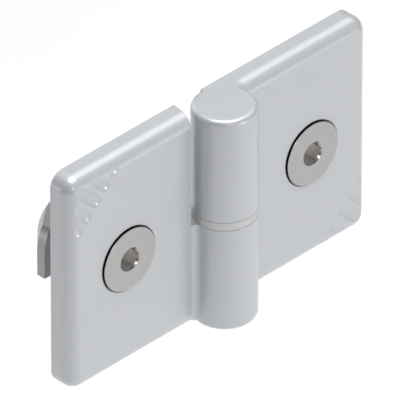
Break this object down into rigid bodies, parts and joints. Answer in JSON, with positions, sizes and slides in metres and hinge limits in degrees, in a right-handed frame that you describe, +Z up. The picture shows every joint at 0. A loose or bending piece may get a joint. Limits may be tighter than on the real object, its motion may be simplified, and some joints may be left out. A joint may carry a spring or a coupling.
{
  "type": "lift off hinge",
  "caption": "Lift off hinge for slotted profiles: like cast leaves in satin silver about a pin, with a ring between the knuckles and a countersunk screw with a slot nut in each leaf.",
  "frame": {"origin": "on the mounting plane, straight behind the pin axis, at half height", "axes": "+X right towards the door leaf, +Y from the front back into the profile, +Z up along the pin"},
  "size_m": [0.0924, 0.03, 0.056],
  "materials": {
    "silver_lacquer": "satin",
    "screw_steel": "satin",
    "nut_steel": "satin",
    "pin_steel": "polished",
    "ring_steel": "satin"
  },
  "bodies": {
    "frame_side": {"frame_leaf": "silver_lacquer", "hinge_pin": "pin_steel", "frame_screw": "screw_steel", "frame_slot_nut": "nut_steel"},
    "ring_side": {"bearing_ring": "ring_steel"},
    "door_side": {"door_leaf": "silver_lacquer", "door_screw": "screw_steel", "door_slot_nut": "nut_steel"}
  },
  "joints": [
    {"name": "door_swing", "type": "hinge", "parent": "frame_side", "child": "ring_side", "pos_m": [0, -0.0075, 0], "axis": [0, 0, -1], "range_deg": [0, 180]},
    {"name": "lift_off", "type": "slide", "parent": "ring_side", "child": "door_side", "axis": [0, 0, 1], "range_m": [0, 0.03]}
  ]
}
